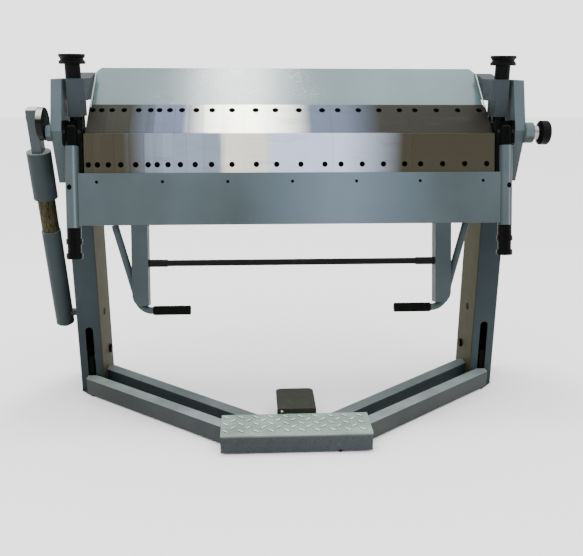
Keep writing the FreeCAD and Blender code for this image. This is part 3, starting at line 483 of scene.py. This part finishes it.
def knurled(name, node, around, start, end, teeth):
    """Blackened steel on a node, knurled along an axis from start to end before its far face."""
    material, shade, shader = surface(name)
    low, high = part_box(node)
    tone = (shade.cloud(30.0, 4.0).clear(0.5, 0.8) * 0.5)
    tone = tone.blend((0.0025, 0.003, 0.0025), (0.008, 0.009, 0.008))
    along = shade.axis(around)
    across = []
    for which in "XYZ".replace(around, ""):
        place = "XYZ".index(which)
        across.append(shade.axis(which) - (low[place] + high[place]) / 2)
    ridge = shade.maths("SINE", shade.maths("ARCTAN2", *across) * teeth)
    far = high["XYZ".index(around)]
    inside = shade.maths("GREATER_THAN", along, far - start)
    inside = inside * shade.maths("LESS_THAN", along, far - end)
    feed(shade, shader, Base_Color=tone, Metallic=0.15, Specular_IOR_Level=0.05,
         Roughness=0.34 + shade.cloud(80.0, 3.0) * 0.15,
         Normal=shade.bump(ridge * inside, 0.5, 0.0012))
    dress(material, node, edge=0.0008)


for side in ("left", "right"):
    knurled("clamp knob black " + side, "clamp_knob_" + side, "Z", 0.030, 0.0, 60)
post_black = blackened("post black", (0.0014, 0.0014, 0.0014), 0.2, shine=0.05)
dress(post_black, "stop_posts", edge=0.0006)
knurled("lock knob black", "lock_knob", "X", 0.026, 0.004, 48)

# Folding leaf: a welded beam in the same enamel, with round tubes at its ends.
# The tubes carry domed caps, black pivot hubs and the adjusters below.
# The leaf enamel paints a reflection as a paler patch right of the middle.
leaf_sheen = (0.105, 0.142, 0.175)
leaf_enamel = enamel("leaf enamel", machine_blue_lit(), dust_and_sheen=0.1, wear=0.5, gloss=0.36,
                     sheen_patch=(0.15, 0.32, leaf_sheen))
dress(leaf_enamel, "leaf_beam")
# The tube enamel paints a highlight along each tube and shade at its sides.
tube_enamel = enamel("tube enamel", machine_blue_lit(), dust_and_sheen=0.1, wear=0.3, gloss=0.32,
                     gleam=(0.125, 0.158, 0.170))
dress(tube_enamel, "leaf_tubes")
hub_black = blackened("hub black", (0.0012, 0.0014, 0.0014), 0.16, shine=0.05)
dress(hub_black, "pivot_hub_left", "pivot_hub_right", "pivot_caps", edge=0.001)
adjuster_black = blackened("adjuster black", (0.0014, 0.0016, 0.0014), 0.18, shine=0.05)
dress(adjuster_black, "leaf_adjuster_left", "leaf_adjuster_right", edge=0.0006)

# Hub bolts: small socket head screws beside the domed caps, with bright rubbed rims.
# Their sockets and the pin hole in the front of each cap are black discs: painted shade.


def round_piece(bm, centre, out, radius, height, rim=0.0, sides=24):
    """A short turned piece that stands on a face, with a chamfered rim."""
    place = standing(centre, out)
    root = -0.001
    outline = ((radius, root), (radius, height - rim), (radius - rim, height))
    rings = [ring(bm, place, reach, rise, sides) for reach, rise in outline]
    skin(bm, rings)
    cap(bm, rings)


front = Vector((0, -1, 0))
bolt_places = ((0.6505, 0.9172), (0.6966, 0.9172))
hub_face = -0.2119
bolt_height = 0.0030
tube_place = 0.6745
tube_inset = 0.010
tube_radius = 0.0195
cap_hole_up = 0.008
rubbed_rim = blackened("hub bolt steel", (0.02, 0.02, 0.02), 0.24, metal=0.8)
bm = bmesh.new()
sockets = bmesh.new()
for side in (-1, 1):
    for x, z in bolt_places:
        seat = Vector((side * x, hub_face, z))
        round_piece(bm, seat, front, 0.0050, bolt_height, 0.0008)
        round_piece(sockets, seat + front * bolt_height, front, 0.0026, 0.0002, sides=6)
added_piece("hub_bolts", bm, rubbed_rim, "leaf")
for side in (-1, 1):
    tube_middle = leaf_top + Vector((side * tube_place, 0, 0)) - leaf_out * tube_inset
    spot = tube_middle - leaf_down * cap_hole_up + leaf_out * (tube_radius + 0.0003)
    round_piece(sockets, spot, leaf_out, 0.0030, 0.0004, sides=12)
added_piece("hub_sockets", sockets, screw_black, "leaf")

# Black discs in the holes of the leaf: the seven tapped holes of the panel and the cross holes of
# the end tubes. They lie a little below the paint: painted shade in the holes, and in the tapped
# holes also grease and thread.
panel_rise = 0.005
shade_disc_depth = 0.0015
tapped_hole_down = 0.147
tapped_hole_pitch = 0.200
cross_hole_down = 0.162
cross_hole_turn = math.radians(20)
bm = bmesh.new()
for i in range(-3, 4):
    spot = leaf_top + leaf_down * tapped_hole_down + Vector((i * tapped_hole_pitch, 0, 0))
    spot = spot + leaf_out * (panel_rise - shade_disc_depth)
    round_piece(bm, spot, leaf_out, 0.0049, 0.0002)
for side in (-1, 1):
    way = Vector((side * math.sin(cross_hole_turn), 0, 0)) + leaf_out * math.cos(cross_hole_turn)
    tube_middle = leaf_top + Vector((side * tube_place, 0, 0)) - leaf_out * tube_inset
    spot = tube_middle + leaf_down * cross_hole_down + way * tube_radius
    round_piece(bm, spot, way, 0.0084, 0.0002)
added_piece("leaf_hole_shade", bm, screw_black, "leaf")

# Leg hole plugs: black plastic plugs in the side holes of the legs, above the treadle bolts.
# They are pressed in from the inner side and stand a little proud.
plug_black = blackened("plug black", (0.0015, 0.0015, 0.0015), 0.5, shine=0.02)
leg_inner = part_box("leg_right")[0][0]
side_hole = (-0.008, 0.270)
bm = bmesh.new()
for side in (-1, 1):
    seat = Vector((side * leg_inner, *side_hole))
    round_piece(bm, seat, Vector((-side, 0, 0)), 0.0126, 0.0016, 0.0006)
added_piece("leg_hole_plugs", bm, plug_black, "frame")

# Leaf handles: square tubes and bent round stays in the enamel, with ribbed black grips.
# A black pull bar joins the square tubes.
handle_enamel = enamel("handle enamel", machine_blue_lit(0.62), dust_and_sheen=0.1, wear=0.4)
dress(handle_enamel, "handle_arms", "handle_stays")
bar_black = blackened("bar black", (0.004, 0.0045, 0.0042), 0.30, shine=0.06)
dress(bar_black, "pull_bar", edge=0.0006)
rib_pitch = 0.0055
material, shade, shader = surface("grip rubber")
ribs = shade.maths("SINE", shade.axis("X") * (2 * math.pi / rib_pitch))
tone = shade.cloud(40.0, 4.0).blend((0.0015, 0.002, 0.0015), (0.004, 0.005, 0.004))
feed(shade, shader, Base_Color=tone, Roughness=0.62 + shade.cloud(70.0, 3.0) * 0.14,
     Normal=shade.bump(ribs, 0.6, 0.0012), Specular_IOR_Level=0.03)
dress(material, "handle_grips", edge=0.0005)

# Crank pin, collar and lift rods: turned bright steel with fine tool marks and finger marks.
# They run in plain holes; the treadle arms and their bolts are black.
bright = (0.30, 0.30, 0.29)
material, shade, shader = surface("bright steel")
marks = shade.cloud(1.0, 3.0, 0.5, shade.stretched(700.0, 60.0, 60.0))
tone = (marks * 0.5).blend(bright, tuple(c * 0.62 for c in bright))
feed(shade, shader, Base_Color=tone, Metallic=1.0, Roughness=0.26 + shade.cloud(18.0, 4.0) * 0.2,
     Normal=shade.bump(marks, 0.12, 0.0004))
dress(material, "crank_pin", "lock_collar", "lift_rods", edge=0.0006)
bolt_black = blackened("bolt black", (0.002, 0.002, 0.002), 0.5, shine=0.03)
dress(bolt_black, "treadle_pivot_bolts", "treadle_arms", edge=0.0006)

# Crank: a turned steel disc with black faces, keyed to the left end of the leaf's pivot.
# Its rim is polished, with a painted reflection: bright where it looks up and dark below.
rim_dark_reflection = (0.012, 0.013, 0.012)
face_black = (0.0015, 0.0018, 0.0015)
material, shade, shader = surface("crank steel")
rim = 1.0 - abs(shade.facing("X")).clear(0.35, 0.75)
upper = shade.facing("Z").clear(0.30, 0.62)
marks = shade.cloud(1.0, 3.0, 0.5, shade.stretched(600.0, 40.0, 40.0))
rim_reflection = upper.blend(rim_dark_reflection, marks.blend((0.24, 0.26, 0.20), (0.40, 0.42, 0.36)))
feed(shade, shader, Base_Color=rim.blend(face_black, rim_reflection), Metallic=rim,
     Roughness=0.20 + marks * 0.12, Normal=shade.bump(marks, 0.1, 0.0003),
     Specular_IOR_Level=0.02)
dress(material, "crank", edge=0.001)

# Balance strut: a painted sleeve and a flat rod on the crank pin. The sleeve slides on a bare
# drawn tube, which stands in a painted tube. The bare tube's olive brown tone with long streaks
# is a painted reflection.
strut_enamel = enamel("strut enamel", machine_blue_lit(0.42), dust_and_sheen=0.9, wear=0.4,
                      top=(0.30, 0.37, 0.35))
dress(strut_enamel, "strut_sleeve", "strut_lower_tube", "strut_foot_pin")
rod_enamel = enamel("rod enamel", machine_blue_lit(0.5), dust_and_sheen=1.0, wear=0.6, gloss=0.3, shine=0.3,
                    top=(0.62, 0.66, 0.62))
dress(rod_enamel, "strut_rod")
material, shade, shader = surface("bare strut tube")
streak = shade.cloud(1.0, 4.0, 0.6, shade.stretched(260.0, 260.0, 7.0))
olive_reflection = streak.clear(0.35, 0.7).blend((0.012, 0.011, 0.005), (0.060, 0.054, 0.030))
feed(shade, shader, Base_Color=olive_reflection, Metallic=0.4, Roughness=0.34 + streak * 0.2,
     Normal=shade.bump(streak, 0.1, 0.0004), Specular_IOR_Level=0.04)
dress(material, "strut_inner_tube", edge=0.0006)

# Treadle: welded square tubes with a bent checker plate on top, all in enamel, scuffed by
# shoes. A pale band along the rounded front edge of the step is a painted highlight. The small
# black plate behind the step is bent sheet.
treadle_enamel = enamel("treadle enamel", machine_blue_lit(0.42), dust_and_sheen=0.9, wear=0.8,
                        top=(0.27, 0.33, 0.32), upright_brown=0.35)
rear_enamel = enamel("rear tube enamel", machine_blue_lit(0.5), dust_and_sheen=0.75, wear=0.6,
                     top=(0.15, 0.185, 0.18))
dress(treadle_enamel, "treadle_front_tubes", edge=0.004)
dress(rear_enamel, "treadle_rear_tubes", edge=0.004)
dress(treadle_enamel, "step_bearer")
step_low, step_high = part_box("step_plate")
bend_highlight_pale = (0.42, 0.50, 0.45)
bend_highlight_reach = 0.0130
step_enamel = enamel("step enamel", machine_blue_lit(0.36), dust_and_sheen=1.0, wear=1.0, gloss=0.24,
                     shine=0.3, top=(0.27, 0.365, 0.31),
                     rub_and_highlight=(step_low[1], step_high[2], bend_highlight_reach, bend_highlight_pale))
dress(step_enamel, "step_plate", edge=0.004)
heel_black = blackened("heel plate black", (0.018, 0.020, 0.014), 0.34, metal=0.1)
dress(heel_black, "heel_plate", edge=0.0008)

# Checker pattern: raised lozenges rolled into the step plate, in rows that lean left and right
# in turn. They cover the top and go on down the front lip, with one enamel for each.
lozenge_length = 0.030
lozenge_width = 0.0090
lozenge_rise = 0.0018
lozenge_lean = 38
row_pitch = 0.0225
column_pitch = 0.046
first_row = 0.022
first_column = 0.014
end_margin = 0.012
rear_margin = 0.008


def lozenge(bm, centre, along, across, out):
    """One raised lozenge with pointed ends and a flat top."""
    outline = [(-0.5, 0.0), (-0.22, -0.42), (0.22, -0.42), (0.5, 0.0), (0.22, 0.42), (-0.22, 0.42)]
    rings = []
    for length, width, rise in ((1.0, 1.0, -0.0003), (0.8, 0.62, lozenge_rise)):
        corners = []
        for a, b in outline:
            spot = centre + along * (a * lozenge_length * length)
            spot = spot + across * (b * lozenge_width * width) + out * rise
            corners.append(bm.verts.new(spot))
        rings.append(corners)
    skin(bm, rings)
    cap(bm, rings)


def checker(name, material, rows, inward, across, out):
    """Rows of lozenges on one face of the step, from its front edge inward."""
    bm = bmesh.new()
    columns = int((step_high[0] - step_low[0] - 0.02) / column_pitch * 2)
    for row in range(rows):
        for column in range(columns + 1):
            x = step_low[0] + first_column + column * column_pitch / 2
            inset = first_row + row * row_pitch
            if (row + column) % 2 or x > step_high[0] - end_margin:
                continue
            if inward[1] and step_low[1] + inset > step_high[1] - rear_margin:
                continue
            lean = math.radians(lozenge_lean if row % 2 else -lozenge_lean)
            right = Vector((1, 0, 0))
            centre = Vector((x, step_low[1], step_high[2])) + inward * inset
            lozenge(bm, centre, right * math.cos(lean) + inward * math.sin(lean),
                    right * (across[0] * math.sin(lean)) + inward * (across[1] * math.cos(lean)),
                    out)
    added_piece(name, bm, material, "treadle")


# Painted highlight: the lozenges are near white on their upward faces.
lozenge_enamel = enamel("lozenge enamel", machine_blue_lit(0.42), dust_and_sheen=1.0, wear=0.4, gloss=0.16,
                        shine=0.5, top=(0.90, 1.0, 0.90))
checker("step_plate_lozenges", lozenge_enamel, 6, Vector((0, 1, 0)), (-1, 1),
        Vector((0, 0, 1)))
lip_enamel = enamel("lip lozenge enamel", machine_blue_lit(0.6), dust_and_sheen=0.3, wear=0.4, gloss=0.24)
checker("step_lip_lozenges", lip_enamel, 2, Vector((0, 0, -1)), (1, -1), Vector((0, -1, 0)))

# Step stop: a small black pin under the front lip, on which the lowered step comes to rest.
# It is screwed into the cross tube from below.
stop_place = Vector((0.131, -0.552, 0.0085))
bm = bmesh.new()
round_piece(bm, stop_place, Vector((0, 0, -1)), 0.0075, 0.0080, 0.0015)
added_piece("step_stop", bm, bolt_black, "treadle")

# Floor and light: a pale floor under soft light from above, as in a studio.
# The camera stands a little above the beam and looks down.
bm = bmesh.new()
bmesh.ops.create_grid(bm, x_segments=2, y_segments=2, size=14.0)
mesh = bpy.data.meshes.new("floor")
bm.to_mesh(mesh)
bm.free()
floor = bpy.data.objects.new("floor", mesh)
bpy.context.scene.collection.objects.link(floor)
material, shade, shader = surface("pale floor")
tone = shade.cloud(0.6, 2.0).blend((0.93, 0.93, 0.925), (0.96, 0.96, 0.955))
feed(shade, shader, Base_Color=tone, Roughness=0.9)
floor.data.materials.append(material)

world = bpy.data.worlds.new("studio")
bpy.context.scene.world = world
world.use_nodes = True
air = Shade(world.node_tree)
height = air.node("SeparateXYZ", {}, {0: air.node("TexCoord")}, out=2)
sky = world.node_tree.nodes["Background"]
horizon, wall, ceiling = 0.62, 0.20, 1.0
glow = height.ramp([(0.0, horizon), (0.10, horizon), (0.22, wall), (0.60, 0.22),
                    (0.86, 0.95), (1.0, ceiling)])
world.node_tree.links.new(glow.link, sky.inputs["Color"])
sky.inputs["Strength"].default_value = 4.0


def panel(name, place, aim, width, height, power):
    """A soft rectangular light that looks at a point."""
    lamp = bpy.data.lights.new(name, "AREA")
    lamp.shape = "RECTANGLE"
    lamp.size = width
    lamp.size_y = height
    lamp.energy = power
    holder = bpy.data.objects.new(name, lamp)
    holder.location = place
    holder.rotation_euler = (Vector(aim) - Vector(place)).to_track_quat("-Z", "Y").to_euler()
    bpy.context.scene.collection.objects.link(holder)


panel("ceiling", (-0.22, 0.45, 4.0), (-0.25, 0.0, 0.8), 0.5, 0.9, 56)
panel("key", (-1.4, -2.6, 2.8), (0.0, -0.2, 0.8), 1.2, 0.9, 8)

sensor_width = 36.0
picture_width = 583.0
focal_length = 724.6
camera = bpy.data.objects.new("camera", bpy.data.cameras.new("camera"))
camera.data.lens = sensor_width * focal_length / picture_width
camera.data.sensor_width = sensor_width
camera.location = (-0.1229, -2.4890, 1.1134)
look_down, look_right, roll = 16.33, 3.093, 0.212
turn = Euler((math.radians(90 - look_down), 0, math.radians(-look_right)), "XYZ").to_matrix()
turn = turn @ Matrix.Rotation(math.radians(roll), 3, "Z")
camera.rotation_euler = turn.to_euler()
bpy.context.scene.collection.objects.link(camera)
bpy.context.scene.camera = camera
